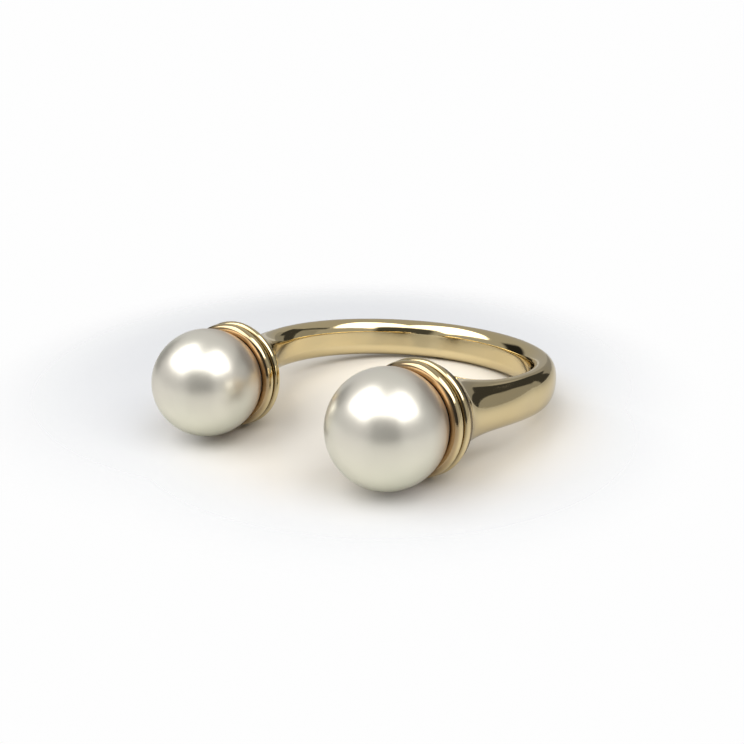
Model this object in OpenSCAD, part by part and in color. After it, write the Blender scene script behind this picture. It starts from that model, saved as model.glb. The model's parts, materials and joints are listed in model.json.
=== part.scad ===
// Open cuff ring: a round gold band, open at the front, with a pearl in a beaded cup on
// the end of each flaring arm. Sizes are in millimetres. The ring lies on its side, as it
// comes to rest by itself: on both cups and the back of the band. X runs across the
// opening, -Y is the front, where the pearls are, and Z is up from the floor.

/* [Finger and band] */

// Inside diameter of the band: the ring size
finger_d = 17.3; // [15:0.1:20]

// Thickness of the band, from its inner face to its outer face
band_t = 1.7; // [1.4:0.05:2.1]

// Height of the band, along the finger
band_h = 2.8; // [2.2:0.05:3.2]

// How square the band's section is: 2 is an oval, more is squarer
band_square = 2.3; // [2:0.1:2.8]

// How far the round part runs on past the ring's widest line, on each side, in degrees
round_past = 16.5; // [12:0.5:22]

/* [Arms and cups] */

// Straight distance from the end of the round part to the pearl's centre
arm_reach = 9.4; // [8.8:0.1:10.6]

// Direction each cup faces, turned inwards from straight ahead, in degrees
cup_turn = 5.75; // [2:0.25:10]

// How far the arm meets its cup to the outside of the cup's own axis
arm_offset = 0.15; // [0:0.05:0.3]

/* [Pearls] */

// Diameter of each pearl
pearl_d = 6.5; // [6:0.1:7]

// Diameter of the post that the pearl sits on
post_d = 0.9; // [0.7:0.05:1.1]

/* [Fits] */

// Gap all round between a pearl and its cup
seat_gap = 0.04; // [0.03:0.01:0.08]

// Gap all round between a post and the drilled pearl
post_gap = 0.05; // [0.03:0.01:0.1]

/* [View] */

// The piece to show

/* [Hidden] */

$fn = 96;

RIGHT = 1;
LEFT = -1;

pearl_r = pearl_d / 2;
centre_r = (finger_d + band_t) / 2;     // radius of the band's centreline

// The cup, in shares of the pearl's radius. Each bead has a distance back from the
// pearl's centre, the radius of its crest and the radius of its own round.
BACK = 0;
CREST = 1;
ROUND = 2;
rim_bead  = [0.66, 1.000, 0.100];
back_bead = [0.86, 1.016, 0.075];

// The post, from its root in the cup's dome to its end near the pearl's centre
post_root = 1.15 * pearl_r;
post_end = 0.12 * pearl_r;

// The arm's front end, in shares of the pearl's radius: a short straight neck that runs
// into the back bead from this distance back, its length, half thickness and half height
neck_back = 1.00;
neck_run = 0.16;
neck_half_t = 0.93;
neck_half_h = 0.95;

// The flare runs on into the round part by this many degrees. It dies away slowly on the
// arm's outer side and fast on its inner side and in height.
flare_past = 10;
flare_power_out = 1.4;
flare_power_in = 3.2;
flare_power_h = 3.4;

// The inner face is cut off flat over this height, and swells in by this depth. The
// finger's own cylinder trims it there, which leaves a land that the finger touches.
land_h = 0.8;
land_depth = 0.03;

// Steps used to draw the band's section, an arm and the round part
around_n = 40;
arm_n = 14;
round_n = 60;

// Centreline of the right arm, seen from above
function heading(a) = [-sin(a), -cos(a)];
round_end = centre_r * [cos(round_past), -sin(round_past)];
pearl_at = round_end + arm_reach * heading(round_past);
cup_ahead = heading(cup_turn);
cup_side = [cos(cup_turn), -sin(cup_turn)];
arm_start = pearl_at - neck_back * pearl_r * cup_ahead + arm_offset * cup_side;
arm_chord = norm(round_end - arm_start);
flare_run = arm_chord + centre_r * PI * flare_past / 180;

function hermite(p0, d0, p1, d1, u) =
    (2 * pow(u, 3) - 3 * pow(u, 2) + 1) * p0 + (pow(u, 3) - 2 * pow(u, 2) + u) * d0
    + (3 * pow(u, 2) - 2 * pow(u, 3)) * p1 + (pow(u, 3) - pow(u, 2)) * d1;

function hermite_slope(p0, d0, p1, d1, u) =
    (6 * pow(u, 2) - 6 * u) * p0 + (3 * pow(u, 2) - 4 * u + 1) * d0
    + (6 * u - 6 * pow(u, 2)) * p1 + (3 * pow(u, 2) - 2 * u) * d1;

function unit(v) = v / norm(v);

function on_round(a) = centre_r * [cos(a), sin(a)];
function along_round(a) = [-sin(a), cos(a)];

// Stations of the centreline, from the right neck round the back to the left neck. Each
// holds its place, the way it runs and its distance from the arm's start.
PLACE = 0;
WAY = 1;
RUN = 2;
arm_d0 = -arm_chord * cup_ahead;
arm_d1 = -arm_chord * heading(round_past);

neck_station = [arm_start + neck_run * pearl_r * cup_ahead, -cup_ahead, 0];

arm_stations = [for (i = [0:arm_n - 1]) let (u = i / arm_n)
    [hermite(arm_start, arm_d0, round_end, arm_d1, u),
     unit(hermite_slope(arm_start, arm_d0, round_end, arm_d1, u)),
     arm_chord * u]];

round_sweep = 180 + 2 * round_past;
round_run = centre_r * PI * round_sweep / 180;
round_stations = [for (i = [0:round_n])
    let (a = round_sweep * i / round_n - round_past, run = round_run * i / round_n)
    [on_round(a), along_round(a), arm_chord + min(run, round_run - run)]];

right_stations = concat([neck_station], arm_stations);
left_stations = [for (i = [len(right_stations) - 1:-1:0]) let (s = right_stations[i])
    [[-s[PLACE].x, s[PLACE].y], [s[WAY].x, -s[WAY].y], s[RUN]]];

stations = concat(right_stations, round_stations, left_stations);

// The band's section is a soft oval that is cut off flat on its inner side. Its outline
// starts and ends at the flat's two edges, and its inner and outer halves flare on their own.
function flare(run, power) = pow(max(0, 1 - run / flare_run), power);
function flared(band, neck, run, power) = band / 2 + (neck * pearl_r - band / 2) * flare(run, power);
function square_at(run) = band_square - (band_square - 2) * flare(run, 1);
function soft(v, e) = sign(v) * pow(abs(v), 2 / e);

land_turn = asin(pow(land_h / band_h, band_square / 2));
inner_swell = 1 / soft(cos(land_turn), band_square);

function section(run) =
    let (e = square_at(run),
         half_h = flared(band_h, neck_half_h, run, flare_power_h),
         half_out = flared(band_t, neck_half_t, run, flare_power_out),
         half_in = inner_swell * (flared(band_t, neck_half_t, run, flare_power_in) + land_depth))
    [for (i = [0:around_n]) let (a = (180 - land_turn) * (2 * i / around_n - 1))
        [soft(cos(a), e) * (cos(a) < 0 ? half_in : half_out), soft(sin(a), e) * half_h]];

section_n = around_n + 1;

function ring_of_points(s) = [for (p = section(s[RUN]))
    [s[PLACE].x + p.x * s[WAY].y, s[PLACE].y - p.x * s[WAY].x, p.y]];

// The ring's own tilt on the floor, found by a few rounds of settling. The back of the
// band touches behind, and in front whichever of the pearls and beads comes down first.
back_section = section(flare_run);
function back_depth(t) = max([for (p = back_section) p.x * sin(t) - p.y * cos(t)]);
function bead_y(b) = pearl_at.y + b[BACK] * pearl_r * cos(cup_turn);
function bead_depth(b, t) = pearl_r * (b[ROUND]
    + (b[CREST] - b[ROUND]) * sqrt(1 - pow(sin(t) * cos(cup_turn), 2)));
function fronts(t) = [[pearl_at.y, pearl_r],
                      [bead_y(rim_bead), bead_depth(rim_bead, t)],
                      [bead_y(back_bead), bead_depth(back_bead, t)]];
function settle(t, rounds) = rounds == 0 ? t
    : settle(max([for (f = fronts(t)) asin((f[1] - back_depth(t)) / (centre_r - f[0]))]), rounds - 1);
tilt = settle(5, 6);
lift = max([for (f = fronts(tilt)) f[1] + f[0] * sin(tilt)]);
reach_back = centre_r * cos(tilt) + max([for (p = back_section) p.x * cos(tilt) + p.y * sin(tilt)]);
reach_front = pearl_r - pearl_at.y * cos(tilt);
slide = (reach_front - reach_back) / 2;

module at_rest() {
    translate([0, slide, lift])
        rotate([-tilt, 0, 0])
            children();
}

// Puts a shape that is built round Z, with the pearl's centre at the origin and the cup
// behind it on +Z, onto an arm
module on_arm(side) {
    translate([side * pearl_at.x, pearl_at.y, 0])
        rotate([0, 0, -side * cup_turn])
            rotate([-90, 0, 0])
                children();
}

module band_and_arms() {
    points = [for (s = stations) each ring_of_points(s)];
    last = (len(stations) - 1) * section_n;
    sides = [for (s = [0:len(stations) - 2], i = [0:section_n - 1])
        let (j = (i + 1) % section_n, a = s * section_n, b = a + section_n)
        each [[a + i, b + j, b + i], [a + i, a + j, b + j]]];
    first_cap = [for (i = [1:section_n - 2]) [0, i + 1, i]];
    last_cap = [for (i = [1:section_n - 2]) [last, last + i, last + i + 1]];
    polyhedron(points, concat(sides, first_cap, last_cap), convexity = 6);
}

// The finger's own cylinder, which the whole inside stays clear of
module finger_space() {
    translate([0, 0, -band_h])
        cylinder(d = finger_d, h = 2 * band_h);
}

module bead(b) {
    translate([(b[CREST] - b[ROUND]) * pearl_r, b[BACK] * pearl_r])
        circle(r = b[ROUND] * pearl_r);
}

// Right half of the cup's outline: X is the radius, Y runs back from the pearl's centre
module cup_outline() {
    front = (rim_bead[BACK] - rim_bead[ROUND]) * pearl_r;
    groove_r = (rim_bead[CREST] - rim_bead[ROUND]) * pearl_r;
    difference() {
        union() {
            translate([0, front])
                square([groove_r, back_bead[BACK] * pearl_r - front]);
            bead(rim_bead);
            bead(back_bead);
        }
        circle(r = pearl_r + seat_gap);
    }
}

module cup() {
    rotate_extrude()
        cup_outline();
}

// Hollow that takes the back of the pearl
module seat() {
    sphere(r = pearl_r + seat_gap);
}

module post() {
    translate([0, 0, post_end])
        cylinder(d = post_d, h = post_root - post_end);
}

module pearl() {
    difference() {
        sphere(r = pearl_r);
        translate([0, 0, post_end - 2 * post_gap])
            cylinder(d = post_d + 2 * post_gap, h = pearl_r);
    }
}

module shank() {
    color([0.86, 0.72, 0.44])
        at_rest() {
            difference() {
                band_and_arms();
                finger_space();
                on_arm(RIGHT) seat();
                on_arm(LEFT) seat();
            }
            for (side = [RIGHT, LEFT]) {
                on_arm(side) cup();
                on_arm(side) post();
            }
        }
}

module pearl_left() {
    color([0.93, 0.91, 0.88])
        at_rest() on_arm(LEFT) pearl();
}

module pearl_right() {
    color([0.93, 0.91, 0.88])
        at_rest() on_arm(RIGHT) pearl();
}

shank();
pearl_left();
pearl_right();
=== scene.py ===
import json
import math

import bmesh
import bpy
from mathutils import Euler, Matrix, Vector


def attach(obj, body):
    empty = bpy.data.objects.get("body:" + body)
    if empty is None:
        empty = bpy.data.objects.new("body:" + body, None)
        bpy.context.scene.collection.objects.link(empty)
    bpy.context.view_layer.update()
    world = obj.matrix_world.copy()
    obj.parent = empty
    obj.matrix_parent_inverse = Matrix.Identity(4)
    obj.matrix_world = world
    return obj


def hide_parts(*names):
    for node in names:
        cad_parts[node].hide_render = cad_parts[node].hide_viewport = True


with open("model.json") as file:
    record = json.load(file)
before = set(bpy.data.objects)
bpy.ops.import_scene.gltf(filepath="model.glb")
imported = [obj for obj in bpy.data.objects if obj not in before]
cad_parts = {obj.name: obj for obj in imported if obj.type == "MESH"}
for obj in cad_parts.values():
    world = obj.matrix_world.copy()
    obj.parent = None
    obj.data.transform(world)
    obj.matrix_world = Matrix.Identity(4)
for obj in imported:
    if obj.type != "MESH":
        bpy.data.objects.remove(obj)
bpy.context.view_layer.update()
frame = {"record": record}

# An open cuff ring of yellow gold that lies on its side, with a pearl in a beaded cup on the
# end of each arm. Lengths are in metres. The ring's own frame has the finger's axis on Z and
# the opening on -Y, and the last step of each piece lays it down as the solid model lies.

MM = 0.001
RIGHT = 1
LEFT = -1

# The finger's cylinder and the way the ring lies
finger_hold = frame["record"]["mounts"][0]
finger_r = finger_hold["dims"]["r_mm"] * MM
rest_place = Vector(finger_hold["pos_m"])
rest_lean = -math.asin(finger_hold["axis"][1])

# The band and its arms
band_t = 1.7 * MM
band_h = 2.8 * MM
band_square = 2.3
land_h = 0.8 * MM
land_depth = 0.03 * MM
round_past = math.radians(16.5)
arm_reach = 9.4 * MM
arm_offset = 0.15 * MM
cup_turn = math.radians(5.75)
flare_past = math.radians(10)
flare_power_out = 1.4
flare_power_in = 3.2
flare_power_h = 3.4

# The pearls, the posts that they sit on, and the gaps round both
pearl_r = 3.25 * MM
post_r = 0.45 * MM
post_root = 1.15 * pearl_r
post_end = 0.12 * pearl_r
seat_gap = 0.04 * MM
post_gap = 0.05 * MM

# The cup's two beads and the neck, in shares of the pearl's radius
rim_bead = {"back": 0.66, "crest": 1.000, "round": 0.100}
back_bead = {"back": 0.86, "crest": 1.016, "round": 0.075}
neck_back = 1.00
neck_run = 0.16
neck_half_t = 0.93
neck_half_h = 0.95

# The neck has painted shade over this run, where it meets its cup
seam_shade_run = 0.5 * MM

# Points of a turned shape that lie closer than this are one point
weld_gap = 0.0001 * MM

# Worked out from the sizes above
seat_r = pearl_r + seat_gap
drill_r = post_r + post_gap
drill_end = post_end - 2 * post_gap
centre_r = finger_r + band_t / 2
land_turn = math.asin((land_h / band_h) ** (band_square / 2))
inner_swell = 1 / math.cos(land_turn) ** (2 / band_square)


def heading(turn):
    """The way forwards, turned inwards on the right arm."""
    return Vector((-math.sin(turn), -math.cos(turn), 0))


round_end = centre_r * Vector((math.cos(round_past), -math.sin(round_past), 0))
pearl_at = round_end + arm_reach * heading(round_past)
cup_ahead = heading(cup_turn)
cup_side = Vector((math.cos(cup_turn), -math.sin(cup_turn), 0))
arm_start = pearl_at - neck_back * pearl_r * cup_ahead + arm_offset * cup_side
arm_chord = (round_end - arm_start).length
flare_run = arm_chord + centre_r * flare_past


class Graph:
    """A node tree under construction, with short calls for its usual steps."""

    columns = 12
    column_width = 190
    row_height = 240

    def __init__(self, tree):
        self.tree = tree

    def put(self, kind, feeds=None, **settings):
        """Adds a node, sets its properties and feeds its named inputs."""
        node = self.tree.nodes.new(kind)
        row, column = divmod(len(self.tree.nodes), self.columns)
        node.location = (self.column_width * column, -self.row_height * row)
        for name, value in settings.items():
            setattr(node, name, value)
        for name, value in (feeds or {}).items():
            self.feed(node.inputs[name], value)
        return node

    def feed(self, socket, value):
        """Links a socket to a node or another socket, or sets its value."""
        if isinstance(value, bpy.types.Node):
            value = value.outputs[0]
        if isinstance(value, bpy.types.NodeSocket):
            self.tree.links.new(value, socket)
        else:
            socket.default_value = value

    def sum_of(self, kind, operation, terms):
        node = self.put(kind, operation=operation)
        for socket, term in zip(node.inputs, terms):
            self.feed(socket, term)
        return node

    def maths(self, operation, *terms):
        return self.sum_of("ShaderNodeMath", operation, terms).outputs["Value"]

    def plus(self, base, value, factor):
        """A base with a share of another value added to it."""
        return self.maths("ADD", base, self.maths("MULTIPLY", value, factor))

    def vector(self, operation, *terms):
        return self.sum_of("ShaderNodeVectorMath", operation, terms).outputs["Vector"]

    def scalar(self, operation, *terms):
        """A vector step whose answer is one number, such as a length."""
        return self.sum_of("ShaderNodeVectorMath", operation, terms).outputs["Value"]

    def scaled(self, vector, factor):
        return self.put("ShaderNodeVectorMath", {"Vector": vector, "Scale": factor},
                        operation="SCALE").outputs["Vector"]

    def parts(self, vector):
        """The X, Y and Z of a vector."""
        return self.put("ShaderNodeSeparateXYZ", {"Vector": vector}).outputs

    def joined(self, x, y, z):
        return self.put("ShaderNodeCombineXYZ", {"X": x, "Y": y, "Z": z}).outputs["Vector"]

    def ease(self, value, start, end, low=0.0, high=1.0):
        """Goes smoothly from low to high as the value goes from start to end."""
        node = self.put("ShaderNodeMapRange", {"Value": value, "From Min": start, "From Max": end,
                                               "To Min": low, "To Max": high},
                        interpolation_type="SMOOTHSTEP")
        return node.outputs["Result"]


def new_group(name, kind, inputs, outputs):
    """An empty node group with named sockets: returns its graph, its inputs and its output node."""
    tree = bpy.data.node_groups.new(name, kind)
    for label, socket_type, value in inputs:
        socket = tree.interface.new_socket(label, in_out="INPUT", socket_type=socket_type)
        if value is not None:
            socket.default_value = value
    for label, socket_type in outputs:
        tree.interface.new_socket(label, in_out="OUTPUT", socket_type=socket_type)
    graph = Graph(tree)
    given = graph.put("NodeGroupInput").outputs
    return graph, given, graph.put("NodeGroupOutput")


GEOMETRY = "NodeSocketGeometry"
FLOAT = "NodeSocketFloat"
VECTOR = "NodeSocketVector"
INTEGER = "NodeSocketInt"
COLOUR = "NodeSocketColor"
MATERIAL = "NodeSocketMaterial"
OBJECT = "NodeSocketObject"


def named(graph, name, data_type="FLOAT"):
    """Reads a named attribute of the geometry."""
    return graph.put("GeometryNodeInputNamedAttribute", {"Name": name}, data_type=data_type)


def stored(graph, geometry, name, value, data_type="FLOAT"):
    """Stores a named attribute on the geometry's points."""
    return graph.put("GeometryNodeStoreNamedAttribute",
                     {"Geometry": geometry, "Name": name, "Value": value},
                     data_type=data_type, domain="POINT")


def circle_with_turns(graph, sides):
    """A circle whose points hold their angle in the attribute around."""
    circle = graph.put("GeometryNodeCurvePrimitiveCircle", {"Resolution": sides, "Radius": 1.0})
    step = graph.maths("DIVIDE", math.tau, sides)
    turn = graph.maths("MULTIPLY", graph.put("GeometryNodeInputIndex"), step)
    return stored(graph, circle, "around", turn)


def turned_group():
    """Turns an outline round Z, as on a lathe: its X is the radius and its Z the height."""
    graph, given, result = new_group(
        "Turned on a lathe", "GeometryNodeTree",
        [("Outline", GEOMETRY, None), ("Sides", INTEGER, 96)], [("Geometry", GEOMETRY)])
    place = graph.put("GeometryNodeInputPosition")
    outline = graph.put("GeometryNodeMeshToCurve", {"Mesh": given["Outline"]})
    outline = stored(graph, outline, "outline", place, "FLOAT_VECTOR")
    path = circle_with_turns(graph, given["Sides"])
    swept = graph.put("GeometryNodeCurveToMesh", {"Curve": path, "Profile Curve": outline})
    radius, _, height = graph.parts(named(graph, "outline", "FLOAT_VECTOR"))
    around = named(graph, "around")
    spot = graph.joined(graph.maths("MULTIPLY", radius, graph.maths("COSINE", around)),
                        graph.maths("MULTIPLY", radius, graph.maths("SINE", around)), height)
    placed = graph.put("GeometryNodeSetPosition", {"Geometry": swept, "Position": spot})
    closed = graph.put("GeometryNodeMergeByDistance", {"Geometry": placed, "Distance": weld_gap})
    graph.feed(result.inputs["Geometry"], closed)
    return graph.tree


def on_arm_group():
    """Puts a turned shape on an arm: the pearl's centre is at its origin, the cup on its +Z."""
    graph, given, result = new_group(
        "On an arm", "GeometryNodeTree",
        [("Geometry", GEOMETRY, None), ("Side", FLOAT, 1.0), ("Pearl place", VECTOR, pearl_at),
         ("Cup turn", FLOAT, cup_turn)], [("Geometry", GEOMETRY)])
    place = graph.vector("MULTIPLY", given["Pearl place"], graph.joined(given["Side"], 1.0, 1.0))
    turn = graph.maths("MULTIPLY", given["Cup turn"], graph.maths("MULTIPLY", given["Side"], -1.0))
    moved = graph.put("GeometryNodeTransform", {
        "Geometry": given["Geometry"], "Translation": place,
        "Rotation": graph.joined(-math.pi / 2, 0.0, turn)})
    graph.feed(result.inputs["Geometry"], moved)
    return graph.tree


def laid_down_group():
    """Lays the ring on its side, made real and dressed in its material."""
    graph, given, result = new_group(
        "Laid down", "GeometryNodeTree",
        [("Geometry", GEOMETRY, None), ("Lean", FLOAT, rest_lean),
         ("Rest place", VECTOR, rest_place), ("Material", MATERIAL, None)],
        [("Geometry", GEOMETRY)])
    moved = graph.put("GeometryNodeTransform", {
        "Geometry": given["Geometry"], "Translation": given["Rest place"],
        "Rotation": graph.joined(given["Lean"], 0.0, 0.0)})
    smooth = graph.put("GeometryNodeSetShadeSmooth", {"Geometry": moved})
    real = graph.put("GeometryNodeRealizeInstances", {"Geometry": smooth})
    dressed = graph.put("GeometryNodeSetMaterial",
                        {"Geometry": real, "Material": given["Material"]})
    graph.feed(result.inputs["Geometry"], dressed)
    return graph.tree


def flaring_band_group():
    """Sweeps the band's soft oval along the centreline, flares it and trims it to the finger."""
    graph, given, result = new_group(
        "Flaring band", "GeometryNodeTree",
        [("Centreline", GEOMETRY, None), ("Sides", INTEGER, 96),
         ("Thickness", FLOAT, band_t), ("Height", FLOAT, band_h), ("Squareness", FLOAT, band_square),
         ("Neck half thickness", FLOAT, neck_half_t * pearl_r),
         ("Neck half height", FLOAT, neck_half_h * pearl_r), ("Flare run", FLOAT, flare_run),
         ("Outer power", FLOAT, flare_power_out), ("Inner power", FLOAT, flare_power_in),
         ("Height power", FLOAT, flare_power_h), ("Inner swell", FLOAT, inner_swell),
         ("Land depth", FLOAT, land_depth), ("Finger radius", FLOAT, finger_r),
         ("Seat radius", FLOAT, seat_r), ("Pearl place", VECTOR, pearl_at)],
        [("Geometry", GEOMETRY)])
    maths = graph.maths
    place = graph.put("GeometryNodeInputPosition")
    line = graph.put("GeometryNodeMeshToCurve", {"Mesh": given["Centreline"]})
    line = stored(graph, line, "station", place, "FLOAT_VECTOR")
    circle = circle_with_turns(graph, given["Sides"])
    swept = graph.put("GeometryNodeCurveToMesh",
                      {"Curve": line, "Profile Curve": circle, "Fill Caps": True})

    run = named(graph, "run")
    left = maths("MAXIMUM", maths("SUBTRACT", 1.0, maths("DIVIDE", run, given["Flare run"])), 0.0)

    def flared(band, neck, power):
        """Half a size of the section, from the neck's to the plain band's."""
        half = maths("MULTIPLY", band, 0.5)
        grown = maths("MULTIPLY", maths("SUBTRACT", neck, half), maths("POWER", left, power))
        return maths("ADD", half, grown)

    half_out = flared(given["Thickness"], given["Neck half thickness"], given["Outer power"])
    half_in = maths("ADD", given["Land depth"], flared(
        given["Thickness"], given["Neck half thickness"], given["Inner power"]))
    half_h = flared(given["Height"], given["Neck half height"], given["Height power"])
    past_oval = maths("MULTIPLY", maths("SUBTRACT", given["Squareness"], 2.0), left)
    shape = maths("DIVIDE", 2.0, maths("SUBTRACT", given["Squareness"], past_oval))

    around = named(graph, "around")
    across, up = maths("COSINE", around), maths("SINE", around)
    soft_across = maths("POWER", maths("ABSOLUTE", across), shape)
    soft_up = maths("MULTIPLY", maths("SIGN", up), maths("POWER", maths("ABSOLUTE", up), shape))
    outer = maths("MULTIPLY", soft_across, half_out)
    swollen = maths("MINIMUM", maths("MULTIPLY", soft_across, given["Inner swell"]), 1.0)
    inner = maths("MULTIPLY", swollen, maths("MULTIPLY", half_in, -1.0))
    outwards = maths("ADD", maths("MULTIPLY", outer, maths("GREATER_THAN", across, 0.0)),
                     maths("MULTIPLY", inner, maths("LESS_THAN", across, 0.0)))
    size = named(graph, "size")
    outwards = maths("MULTIPLY", outwards, size)
    height = maths("MULTIPLY", maths("MULTIPLY", soft_up, half_h), size)

    way = graph.parts(named(graph, "way", "FLOAT_VECTOR"))
    aside = graph.joined(maths("MULTIPLY", outwards, way["Y"]),
                         maths("MULTIPLY", outwards, maths("MULTIPLY", way["X"], -1.0)), height)
    spot = graph.vector("ADD", named(graph, "station", "FLOAT_VECTOR"), aside)

    flat = graph.vector("MULTIPLY", spot, (1.0, 1.0, 0.0))
    trim = maths("MAXIMUM", maths("DIVIDE", given["Finger radius"], graph.scalar("LENGTH", flat)), 1.0)
    spot = graph.vector("MULTIPLY", spot, graph.joined(trim, trim, 1.0))

    side = maths("SIGN", graph.parts(spot)["X"])
    pearl = graph.vector("MULTIPLY", given["Pearl place"], graph.joined(side, 1.0, 1.0))
    from_pearl = graph.vector("SUBTRACT", spot, pearl)
    clear = maths("MAXIMUM", maths("DIVIDE", given["Seat radius"],
                                   graph.scalar("LENGTH", from_pearl)), 1.0)
    spot = graph.vector("ADD", pearl, graph.scaled(from_pearl, clear))

    placed = graph.put("GeometryNodeSetPosition", {"Geometry": swept, "Position": spot})
    # Painted shade on the neck where it meets its cup, stored with the grooves' painted shade
    seam_shade = graph.ease(run, 0.0, seam_shade_run, 1.0, 0.0)
    graph.feed(result.inputs["Geometry"], stored(graph, placed, "crevice", seam_shade))
    return graph.tree


def shank_tree(turned, on_arm, laid_down, flaring_band):
    """The whole gold shank: the band with both arms, and a cup and a post on each arm."""
    graph, given, result = new_group(
        "Gold shank", "GeometryNodeTree",
        [("Centreline", GEOMETRY, None), ("Cup outline", OBJECT, None),
         ("Post outline", OBJECT, None), ("Band sides", INTEGER, 96), ("Cup sides", INTEGER, 128),
         ("Material", MATERIAL, None)],
        [("Geometry", GEOMETRY)])
    band = graph.put("GeometryNodeGroup", node_tree=flaring_band)
    graph.feed(band.inputs["Centreline"], given["Centreline"])
    graph.feed(band.inputs["Sides"], given["Band sides"])
    fitting = graph.put("GeometryNodeJoinGeometry")
    for outline in ("Cup outline", "Post outline"):
        shape = graph.put("GeometryNodeObjectInfo", {"Object": given[outline]})
        lathe = graph.put("GeometryNodeGroup", node_tree=turned)
        graph.feed(lathe.inputs["Outline"], shape.outputs["Geometry"])
        graph.feed(lathe.inputs["Sides"], given["Cup sides"])
        graph.feed(fitting.inputs[0], lathe)
    whole = graph.put("GeometryNodeJoinGeometry")
    graph.feed(whole.inputs[0], band)
    for side in (RIGHT, LEFT):
        arm = graph.put("GeometryNodeGroup", node_tree=on_arm)
        graph.feed(arm.inputs["Geometry"], fitting)
        graph.feed(arm.inputs["Side"], float(side))
        graph.feed(whole.inputs[0], arm)
    rest = graph.put("GeometryNodeGroup", node_tree=laid_down)
    graph.feed(rest.inputs["Geometry"], whole)
    graph.feed(rest.inputs["Material"], given["Material"])
    graph.feed(result.inputs["Geometry"], rest)
    return graph.tree


def pearl_tree(turned, on_arm, laid_down):
    """A drilled pearl on its arm, very slightly out of round as a grown one is. It is only
    ever smaller than its round, so it stays clear of its seat."""
    graph, given, result = new_group(
        "Grown pearl", "GeometryNodeTree",
        [("Outline", GEOMETRY, None), ("Sides", INTEGER, 128), ("Side", FLOAT, 1.0),
         ("Out of round", FLOAT, 0.012 * MM), ("Swells across", FLOAT, 200.0),
         ("Seed", FLOAT, 0.0), ("Material", MATERIAL, None)],
        [("Geometry", GEOMETRY)])
    lathe = graph.put("GeometryNodeGroup", node_tree=turned)
    graph.feed(lathe.inputs["Outline"], given["Outline"])
    graph.feed(lathe.inputs["Sides"], given["Sides"])
    place = graph.put("GeometryNodeInputPosition")
    swell = graph.put("ShaderNodeTexNoise", {
        "Vector": place, "W": given["Seed"], "Scale": given["Swells across"], "Detail": 1.0},
        noise_dimensions="4D")
    depth = graph.maths("MULTIPLY", graph.maths("SUBTRACT", swell.outputs[0], 1.0),
                        given["Out of round"])
    outwards = graph.vector("NORMALIZE", place)
    grown = graph.put("GeometryNodeSetPosition",
                      {"Geometry": lathe, "Offset": graph.scaled(outwards, depth)})
    arm = graph.put("GeometryNodeGroup", node_tree=on_arm)
    graph.feed(arm.inputs["Geometry"], grown)
    graph.feed(arm.inputs["Side"], given["Side"])
    rest = graph.put("GeometryNodeGroup", node_tree=laid_down)
    graph.feed(rest.inputs["Geometry"], arm)
    graph.feed(rest.inputs["Material"], given["Material"])
    graph.feed(result.inputs["Geometry"], rest)
    return graph.tree


def line_mesh(name, points, closed=False):
    """A mesh of points joined in a row."""
    mesh = bpy.data.meshes.new(name)
    edges = [(i, i + 1) for i in range(len(points) - 1)]
    if closed:
        edges.append((len(points) - 1, 0))
    mesh.from_pydata(points, edges, [])
    return mesh


def keep_values(mesh, name, data_type, values):
    """Stores one value for each of a mesh's points."""
    attribute = mesh.attributes.new(name, data_type, "POINT")
    field = "vector" if data_type == "FLOAT_VECTOR" else "value"
    flat = [x for v in values for x in v] if data_type == "FLOAT_VECTOR" else values
    attribute.data.foreach_set(field, flat)


def shares(count):
    """Even shares from 0 up to, but not including, 1."""
    return [i / count for i in range(count)]


def share(value):
    """A value kept between 0 and 1."""
    return min(1.0, max(0.0, value))


def hermite(p0, d0, p1, d1, u):
    """A smooth curve's place and its way, at share u of it."""
    place = ((2 * u**3 - 3 * u**2 + 1) * p0 + (u**3 - 2 * u**2 + u) * d0
             + (3 * u**2 - 2 * u**3) * p1 + (u**3 - u**2) * d1)
    slope = ((6 * u**2 - 6 * u) * p0 + (3 * u**2 - 4 * u + 1) * d0
             + (6 * u - 6 * u**2) * p1 + (3 * u**2 - 2 * u) * d1)
    return place, slope.normalized()


def centreline():
    """The band's centreline, from the right neck round the back to the left neck. Each station
    holds its place, its way, its run from the arm's start and its share of the full section,
    which falls to almost nothing over each end's first hair's breadth and so closes it."""
    end_n = 12
    arm_n = 60
    half_round_n = 100
    smallest = 0.02
    end_length = 0.0002 * MM
    neck = arm_start + neck_run * pearl_r * cup_ahead
    stations = [(neck + (1 - s) * end_length * cup_ahead, -cup_ahead, 0.0,
                 smallest + (1 - smallest) * s) for s in shares(end_n)]
    stations.append((neck, -cup_ahead, 0.0, 1.0))
    start_slope = -arm_chord * cup_ahead
    end_slope = -arm_chord * heading(round_past)
    for u in shares(arm_n):
        place, way = hermite(arm_start, start_slope, round_end, end_slope, u)
        stations.append((place, way, arm_chord * u, 1.0))
    for u in shares(half_round_n):
        turn = (math.pi / 2 + round_past) * u - round_past
        place = centre_r * Vector((math.cos(turn), math.sin(turn), 0))
        way = Vector((-math.sin(turn), math.cos(turn), 0))
        stations.append((place, way, arm_chord + centre_r * (turn + round_past), 1.0))
    back = (Vector((0, centre_r, 0)), Vector((-1, 0, 0)),
            arm_chord + centre_r * (math.pi / 2 + round_past), 1.0)
    mirrored = [(Vector((-place.x, place.y, 0)), Vector((way.x, -way.y, 0)), run, size)
                for place, way, run, size in reversed(stations)]
    stations += [back] + mirrored
    mesh = line_mesh("centreline", [place for place, way, run, size in stations])
    keep_values(mesh, "way", "FLOAT_VECTOR", [way for place, way, run, size in stations])
    keep_values(mesh, "run", "FLOAT", [run for place, way, run, size in stations])
    keep_values(mesh, "size", "FLOAT", [size for place, way, run, size in stations])
    return mesh


def arc(centre, radius, start, end, count):
    """Points of an arc in the outline's plane, with its angles from +X towards +Z."""
    turns = [start + (end - start) * i / count for i in range(count + 1)]
    return [(centre[0] + radius * math.cos(t), centre[1] + radius * math.sin(t)) for t in turns]


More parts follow.
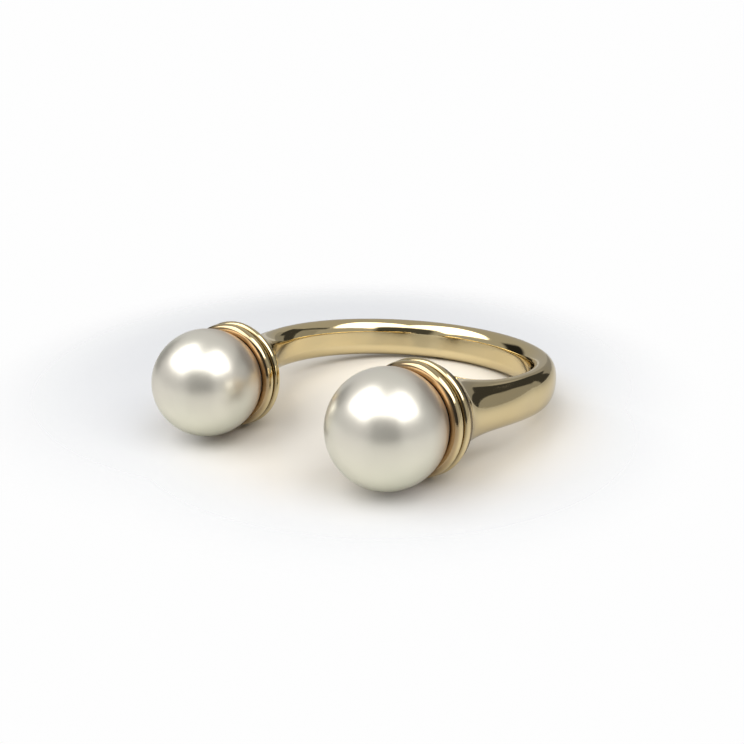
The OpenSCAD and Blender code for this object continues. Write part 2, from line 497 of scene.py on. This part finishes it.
def cup_outline():
    """The cup's outline: its hollow seat, the rim bead, the groove and the back bead."""
    seat_n = 24
    bead_n = 28
    beads = []
    for bead in (rim_bead, back_bead):
        radius = bead["round"] * pearl_r
        beads.append(((bead["crest"] * pearl_r - radius, bead["back"] * pearl_r), radius))
    (rim, rim_round), (back, back_round) = beads
    seat_lip = math.atan2(rim[1] - rim_round, math.sqrt(seat_r**2 - (rim[1] - rim_round) ** 2))
    seat_back = math.asin(back[1] / seat_r)
    seat = arc((0, 0), seat_r, seat_back, seat_lip, seat_n)
    rim_arc = arc(rim, rim_round, -math.pi / 2, math.pi / 2, bead_n)
    meets_groove = math.acos((rim[0] - back[0]) / back_round)
    back_arc = arc(back, back_round, -meets_groove, math.pi / 2, bead_n)
    points = seat + rim_arc + back_arc
    # How deep each point lies in the groove between the beads: it sets the painted shade there
    groove = [0.0 if z < rim[1] else share((rim[0] + rim_round - x) / rim_round) for x, z in rim_arc]
    groove += [0.0 if z > back[1] else share((back[0] + back_round - x) / back_round)
               for x, z in back_arc]
    # Painted shade and reflection on the rim bead's front face, full on the hidden seat
    lip = [share((rim[1] - z) / rim_round) for x, z in rim_arc] + [0.0] * len(back_arc)
    mesh = line_mesh("cup_outline", [(x, 0, z) for x, z in points], closed=True)
    keep_values(mesh, "crevice", "FLOAT", [0.0] * len(seat) + groove)
    keep_values(mesh, "lip", "FLOAT", [1.0] * len(seat) + lip)
    return mesh


def post_outline():
    """The plain post that stands in the cup and holds the pearl."""
    bevel = 0.1 * MM
    points = [(0, post_root), (post_r, post_root), (post_r, post_end + bevel),
              (post_r - bevel, post_end), (0, post_end)]
    return line_mesh("post_outline", [(x, 0, z) for x, z in points])


def pearl_outline():
    """A drilled pearl, from its front pole to the end of its hole. The painted reflection and shade of
    the gold cup on it grow from nothing, this far in front of the rim bead, to full beside it."""
    skin_n = 110
    reflection_reach = 0.75 * pearl_r
    mouth = math.acos(drill_r / pearl_r)
    skin = arc((0, 0), pearl_r, -math.pi / 2, mouth, skin_n)
    depth = skin[-1][1] - drill_end
    wall = [(drill_r, drill_end + depth * left) for left in (0.75, 0.5, 0.25, 0.0)]
    points = skin + wall + [(0, drill_end)]
    mesh = line_mesh("pearl_outline", [(x, 0, z) for x, z in points])
    rim_edge = (rim_bead["back"] - rim_bead["round"]) * pearl_r
    cup_reflection = [share(1 - (rim_edge - z) / reflection_reach) for x, z in points]
    keep_values(mesh, "cup_shade", "FLOAT", cup_reflection)
    return mesh


def helper_object(mesh):
    """An object that only lends its geometry to a tree."""
    helper = bpy.data.objects.new(mesh.name, mesh)
    bpy.context.scene.collection.objects.link(helper)
    return helper


def made_by(tree, name, base, values):
    """Runs a tree on a base mesh and gives the result as a plain object."""
    carrier = helper_object(base)
    modifier = carrier.modifiers.new("shape", "NODES")
    modifier.node_group = tree
    for item in tree.interface.items_tree:
        if item.in_out == "INPUT" and item.name in values:
            modifier[item.identifier] = values[item.name]
    depsgraph = bpy.context.evaluated_depsgraph_get()
    mesh = bpy.data.meshes.new_from_object(carrier.evaluated_get(depsgraph), depsgraph=depsgraph)
    mesh.name = name
    bpy.data.objects.remove(carrier)
    piece = bpy.data.objects.new(name, mesh)
    bpy.context.scene.collection.objects.link(piece)
    face_outwards(piece)
    return piece


def face_outwards(piece):
    """Turns every face of a closed piece outwards."""
    shell = bmesh.new()
    shell.from_mesh(piece.data)
    bmesh.ops.recalc_face_normals(shell, faces=shell.faces)
    shell.to_mesh(piece.data)
    shell.free()


def soft_clouds_group():
    """Slow changes of tone over a surface, from 0 to 1."""
    graph, given, result = new_group(
        "Soft clouds", "ShaderNodeTree",
        [("Across", FLOAT, 400.0), ("Contrast", FLOAT, 1.5), ("Seed", FLOAT, 0.0)],
        [("Cloud", FLOAT)])
    where = graph.put("ShaderNodeTexCoord").outputs["Object"]
    noise = graph.put("ShaderNodeTexNoise", {
        "Vector": where, "W": given["Seed"], "Scale": given["Across"], "Detail": 3.0},
        noise_dimensions="4D").outputs[0]
    spread = graph.maths("MULTIPLY", graph.maths("SUBTRACT", noise, 0.5), given["Contrast"])
    cloud = graph.put("ShaderNodeClamp", {"Value": graph.maths("ADD", spread, 0.5)})
    graph.feed(result.inputs["Cloud"], cloud)
    return graph.tree


def hairlines_group():
    """Fine curved marks, such as polishing and wear leave on metal, from 0 to 1."""
    graph, given, result = new_group(
        "Hairlines", "ShaderNodeTree",
        [("Across", FLOAT, 900.0), ("Stretch", VECTOR, (1.0, 1.0, 6.0)),
         ("Turn", VECTOR, (0.4, 0.2, 0.1)), ("Line width", FLOAT, 0.02), ("Seed", FLOAT, 0.0)],
        [("Mark", FLOAT)])
    where = graph.put("ShaderNodeTexCoord").outputs["Object"]
    turned = graph.put("ShaderNodeMapping", {"Vector": where, "Rotation": given["Turn"],
                                             "Scale": given["Stretch"]})
    noise = graph.put("ShaderNodeTexNoise", {
        "Vector": turned, "W": given["Seed"], "Scale": given["Across"], "Detail": 4.0,
        "Distortion": 0.4}, noise_dimensions="4D").outputs[0]
    off_line = graph.maths("ABSOLUTE", graph.maths("SUBTRACT", noise, 0.5))
    graph.feed(result.inputs["Mark"], graph.ease(off_line, 0.0, given["Line width"], 1.0, 0.0))
    return graph.tree


def use_group(graph, tree, **values):
    """Places a shader group with its own values: returns its first output."""
    node = graph.put("ShaderNodeGroup", node_tree=tree)
    for name, value in values.items():
        graph.feed(node.inputs[name.replace("_", " ")], value)
    return node.outputs[0]


# A mix node's colour sockets are known by number, as others have the same names
MIX_FIRST = 6
MIX_SECOND = 7
MIX_RESULT = 2


def mixed(graph, amount, first, second):
    """A colour between two colours: the second one's share is the amount."""
    node = graph.put("ShaderNodeMix", {"Factor": amount}, data_type="RGBA")
    graph.feed(node.inputs[MIX_FIRST], first)
    graph.feed(node.inputs[MIX_SECOND], second)
    return node.outputs[MIX_RESULT]


def new_material(name):
    """A material with a bare surface shader: returns it, its graph and the shader."""
    material = bpy.data.materials.new(name)
    material.use_nodes = True
    graph = Graph(material.node_tree)
    shader = material.node_tree.nodes["Principled BSDF"]
    return material, graph, shader


def polished_gold(clouds, hairlines):
    """Yellow gold, mirror polished, with fine wear, painted shade in the cups' grooves and where the
    necks meet the cups, and painted brown shade and reflection on the rim beads' front faces.
    """
    material, graph, shader = new_material("polished yellow gold")
    light_gold = (0.93, 0.77, 0.45, 1)
    deep_gold = (0.89, 0.71, 0.39, 1)
    groove_shade_olive = (0.20, 0.135, 0.06, 1)
    lip_shade_brown = (0.50, 0.35, 0.20, 1)
    plain_rough = 0.035
    rough_by_cloud = 0.03
    rough_by_marks = 0.05
    rough_by_crevice = 0.15
    cloud = use_group(graph, clouds, Across=350.0, Contrast=1.6, Seed=2.0)
    fine = use_group(graph, hairlines, Across=700.0, Stretch=(1.0, 1.0, 7.0), Seed=5.0,
                     Line_width=0.012)
    cross = use_group(graph, hairlines, Across=900.0, Stretch=(6.0, 1.0, 1.0),
                      Turn=(0.3, 0.9, 0.5), Seed=9.0, Line_width=0.010)
    marks = graph.maths("MAXIMUM", fine, graph.maths("MULTIPLY", cross, 0.7))
    crevice = graph.put("ShaderNodeAttribute", attribute_name="crevice").outputs["Fac"]
    colour = mixed(graph, graph.maths("MULTIPLY", cloud, 0.5), light_gold, deep_gold)
    # Painted shade: olive darkening in the cups' grooves and where the necks meet the cups
    colour = mixed(graph, graph.ease(crevice, 0.0, 0.8, 0.0, 0.85), colour, groove_shade_olive)
    # Painted brown shade and reflection on the rim bead's front face
    lip = graph.put("ShaderNodeAttribute", attribute_name="lip").outputs["Fac"]
    colour = mixed(graph, graph.ease(lip, 0.25, 0.9, 0.0, 0.85), colour, lip_shade_brown)
    graph.feed(shader.inputs["Base Color"], colour)
    shader.inputs["Metallic"].default_value = 1.0
    rough = graph.plus(plain_rough, cloud, rough_by_cloud)
    rough = graph.plus(rough, marks, rough_by_marks)
    rough = graph.plus(rough, crevice, rough_by_crevice)
    graph.feed(shader.inputs["Roughness"], rough)
    bump = graph.put("ShaderNodeBump", {"Strength": 0.04, "Distance": 0.01 * MM, "Height": marks},
                     invert=True)
    graph.feed(shader.inputs["Normal"], bump)
    return material


def pearl_nacre(clouds):
    """White nacre with a satin lustre, a faint play of rose and green, and a painted tan reflection
    and shade of its gold cup beside the rim. It is rosier above than below."""
    material, graph, shader = new_material("pearl nacre")
    cream = (0.97, 0.96, 0.79, 1)
    rose = (0.97, 0.905, 0.81, 1)
    green = (0.90, 0.94, 0.78, 1)
    cup_reflection_tan = (0.66, 0.52, 0.38, 1)
    plain_rough = 0.28
    rough_by_cloud = 0.05
    rose_cloud = use_group(graph, clouds, Across=220.0, Contrast=2.2, Seed=1.0)
    green_cloud = use_group(graph, clouds, Across=260.0, Contrast=2.4, Seed=7.0)
    growth = use_group(graph, clouds, Across=900.0, Contrast=1.0, Seed=3.0)
    cup_reflection = graph.put("ShaderNodeAttribute", attribute_name="cup_shade").outputs["Fac"]
    height = graph.parts(graph.put("ShaderNodeTexCoord").outputs["Object"])["Z"]
    blush = graph.ease(height, 1.6 * MM, 4.6 * MM, 0.1, 0.75)
    blush = graph.plus(blush, rose_cloud, 0.25)
    colour = mixed(graph, blush, cream, rose)
    colour = mixed(graph, graph.maths("MULTIPLY", green_cloud, 0.3), colour, green)
    # Painted reflection and shade of the gold cup, tan, beside the rim bead
    colour = mixed(graph, graph.ease(cup_reflection, 0.0, 0.75, 0.0, 0.9), colour, cup_reflection_tan)
    graph.feed(shader.inputs["Base Color"], colour)
    shader.inputs["Metallic"].default_value = 0.75
    shader.inputs["Coat Weight"].default_value = 0.08
    shader.inputs["Coat Roughness"].default_value = 0.2
    graph.feed(shader.inputs["Roughness"], graph.plus(plain_rough, rose_cloud, rough_by_cloud))
    bump = graph.put("ShaderNodeBump", {"Strength": 0.1, "Distance": 0.01 * MM, "Height": growth})
    graph.feed(shader.inputs["Normal"], bump)
    return material


def floor_material(clouds):
    """A plain pale table top with a faint gloss. In the picture it is grey round the ring, a painted
    shadow halo, and burns out to white a little way from the ring, last behind it on the left. The
    ring mirrors it in its own grey, a painted shade that is lighter towards the front.
    """
    material, graph, shader = new_material("pale table top")
    shadow_halo_centre = (-9 * MM, 7 * MM, 0.0)
    where = graph.put("ShaderNodeTexCoord").outputs["Object"]
    far = graph.scalar("LENGTH", where)
    from_shadow_halo = graph.scalar("LENGTH", graph.vector("SUBTRACT", where, shadow_halo_centre))
    seen = graph.put("ShaderNodeLightPath").outputs["Is Camera Ray"]
    cloud = use_group(graph, clouds, Across=30.0, Contrast=0.8, Seed=4.0)
    warm_tone = mixed(graph, cloud, (0.85, 0.81, 0.74, 1), (0.88, 0.84, 0.77, 1))
    # Painted shadow halo: the floor that the camera sees is grey round the ring, cooler further out
    seen_tone = mixed(graph, graph.ease(far, 10 * MM, 17 * MM), warm_tone, (0.77, 0.78, 0.80, 1))
    # Painted shade in what the ring mirrors: a greyer floor, darker behind than in front
    behind = graph.ease(graph.parts(where)["Y"], -20 * MM, 20 * MM)
    far_shade_tone = mixed(graph, behind, (0.66, 0.66, 0.64, 1), (0.50, 0.50, 0.49, 1))
    mirrored_shade_tone = mixed(graph, graph.ease(far, 12 * MM, 42 * MM), (0.61, 0.60, 0.58, 1), far_shade_tone)
    graph.feed(shader.inputs["Base Color"], mixed(graph, seen, mirrored_shade_tone, seen_tone))
    # The floor covers the white backdrop near the ring and over the painted shadow halo
    near_cover = graph.ease(far, 10 * MM, 20 * MM, 1.0, 0.0)
    shadow_halo_cover = graph.ease(from_shadow_halo, 14 * MM, 28 * MM, 1.0, 0.0)
    seen_cover = graph.maths("MAXIMUM", near_cover, shadow_halo_cover)
    mirrored_cover = graph.ease(far, 60 * MM, 150 * MM, 1.0, 0.0)
    cover = graph.put("ShaderNodeMix", {"Factor": seen, "A": mirrored_cover, "B": seen_cover})
    graph.feed(shader.inputs["Alpha"], cover)
    shader.inputs["Roughness"].default_value = 0.25
    shader.inputs["Specular IOR Level"].default_value = 0.25
    return material


def make_floor(material):
    """A round flat table top under the ring."""
    reach = 160 * MM
    sides = 64
    mesh = bpy.data.meshes.new("floor")
    rim = [sky_way(360 * s, 0) * reach for s in shares(sides)]
    mesh.from_pydata(rim, [], [list(range(sides))])
    mesh.materials.append(material)
    floor = bpy.data.objects.new("floor", mesh)
    bpy.context.scene.collection.objects.link(floor)


def studio_patch_group():
    """Lays a soft-edged panel of one tone over what is behind it in the sky."""
    graph, given, result = new_group(
        "Studio panel", "ShaderNodeTree",
        [("Behind", COLOUR, (0, 0, 0, 1)), ("Tone", FLOAT, 1.0), ("Towards", VECTOR, (0.0, 0.0, 1.0)),
         ("Across", VECTOR, (1.0, 0.0, 0.0)), ("Along", VECTOR, (0.0, 1.0, 0.0)),
         ("Half width", FLOAT, 0.45), ("Half length", FLOAT, 0.55), ("Soft edge", FLOAT, 0.1)],
        [("Sky", COLOUR)])
    way = graph.put("ShaderNodeTexCoord").outputs["Generated"]
    ahead = graph.scalar("DOT_PRODUCT", way, given["Towards"])
    panel = graph.maths("GREATER_THAN", ahead, 0.0)
    for axis, half in (("Across", "Half width"), ("Along", "Half length")):
        off = graph.maths("DIVIDE", graph.scalar("DOT_PRODUCT", way, given[axis]),
                          graph.maths("MAXIMUM", ahead, 0.001))
        inside = graph.ease(graph.maths("ABSOLUTE", off),
                            graph.maths("SUBTRACT", given[half], given["Soft edge"]),
                            graph.maths("ADD", given[half], given["Soft edge"]), 1.0, 0.0)
        panel = graph.maths("MULTIPLY", panel, inside)
    tone = graph.joined(given["Tone"], given["Tone"], given["Tone"])
    graph.feed(result.inputs["Sky"], mixed(graph, panel, given["Behind"], tone))
    return graph.tree


def sky_way(azimuth, elevation):
    """A direction: azimuth 0 is towards the ring's front and 90 towards its right arm."""
    a, e = math.radians(azimuth), math.radians(elevation)
    return Vector((math.sin(a) * math.cos(e), -math.cos(a) * math.cos(e), math.sin(e)))


# What stands round the table: its name, where it is (azimuth, elevation), its half width and
# half length in degrees, its tone and how soft its edge is. Windows are brighter than 1.
STUDIO = (
    ("shaded wall behind on the right", 160, 8, 36, 19, 0.27, 0.02),
    ("dark beam along that wall", 134, 31, 16, 4, 0.07, 0.03),
    ("dark doorway in that wall", 166, 11, 15, 22, 0.04, 0.02),
    ("grey door, half open", 182, 1, 12, 13, 0.24, 0.02),
    ("black card on the left", -98, 10, 15, 17, 0.015, 0.08),
    ("left window", -39, 56, 24, 24, 3.0, 0.06),
    ("right window", 85, 55, 21, 22, 3.0, 0.06),
    ("middle window", 25, 55, 24, 8, 2.4, 0.06),
    ("camera and its stand", 31, 19, 27, 26, 0.06, 0.08),
    ("photographer", 47, 8, 9, 10, 0.02, 0.05),
)


def light_studio():
    """A grey room round the table, with what stands in it. The camera sees plain white."""
    below_table = 0.64
    above_table = 0.36
    plain_white = (0.99, 0.99, 0.99, 1)
    world = bpy.data.worlds.new("soft studio")
    bpy.context.scene.world = world
    world.use_nodes = True
    graph = Graph(world.node_tree)
    background = world.node_tree.nodes["Background"]
    panel = studio_patch_group()
    way = graph.put("ShaderNodeTexCoord").outputs["Generated"]
    room = graph.ease(graph.parts(way)["Z"], -0.05, 0.05, below_table, above_table)
    sky = graph.joined(room, room, room)
    for _, azimuth, elevation, half_width, half_length, tone, soft_edge in STUDIO:
        towards = sky_way(azimuth, elevation)
        across = sky_way(azimuth + 90, 0)
        sky = use_group(graph, panel, Behind=sky, Tone=tone, Towards=towards, Across=across,
                        Along=towards.cross(across), Soft_edge=soft_edge,
                        Half_width=math.tan(math.radians(half_width)),
                        Half_length=math.tan(math.radians(half_length)))
    seen = graph.put("ShaderNodeLightPath").outputs["Is Camera Ray"]
    graph.feed(background.inputs["Color"], mixed(graph, seen, sky, plain_white))


def set_camera():
    """The camera that the photo was taken from: found by fitting the ring's points to it."""
    data = bpy.data.cameras.new("camera")
    data.sensor_width = 36
    data.lens = 38.337
    data.clip_start = 0.002
    data.clip_end = 20
    camera = bpy.data.objects.new("camera", data)
    camera.location = (0.0269703, -0.0408787, 0.020035)
    camera.rotation_euler = Euler([math.radians(a) for a in (70.4508, 0.6005, 33.9576)], "XYZ")
    bpy.context.scene.collection.objects.link(camera)
    bpy.context.scene.camera = camera


def dress(piece, slot, *nodes):
    """Ties a piece to the solid model: what it stands for and what it rides on. Its slot is not used.
    """
    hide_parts(*nodes)
    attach(piece, "root")


clouds = soft_clouds_group()
hairlines = hairlines_group()
gold = polished_gold(clouds, hairlines)
nacre = pearl_nacre(clouds)

turned = turned_group()
on_arm = on_arm_group()
laid_down = laid_down_group()
shank_maker = shank_tree(turned, on_arm, laid_down, flaring_band_group())
pearl_maker = pearl_tree(turned, on_arm, laid_down)

cup_helper = helper_object(cup_outline())
post_helper = helper_object(post_outline())
shank = made_by(shank_maker, "gold_shank", centreline(), {
    "Cup outline": cup_helper, "Post outline": post_helper, "Band sides": 96, "Cup sides": 144,
    "Material": gold})
dress(shank, "gold", "shank")
for helper in (cup_helper, post_helper):
    bpy.data.objects.remove(helper)

for side, name in ((RIGHT, "pearl_right"), (LEFT, "pearl_left")):
    pearl = made_by(pearl_maker, name + "_grown", pearl_outline(), {
        "Sides": 144, "Side": float(side), "Out of round": 0.012 * MM, "Swells across": 200.0,
        "Seed": 10.0 + side, "Material": nacre})
    dress(pearl, "pearl", name)

make_floor(floor_material(clouds))
set_camera()
light_studio()
bpy.context.scene.view_settings.view_transform = "Standard"
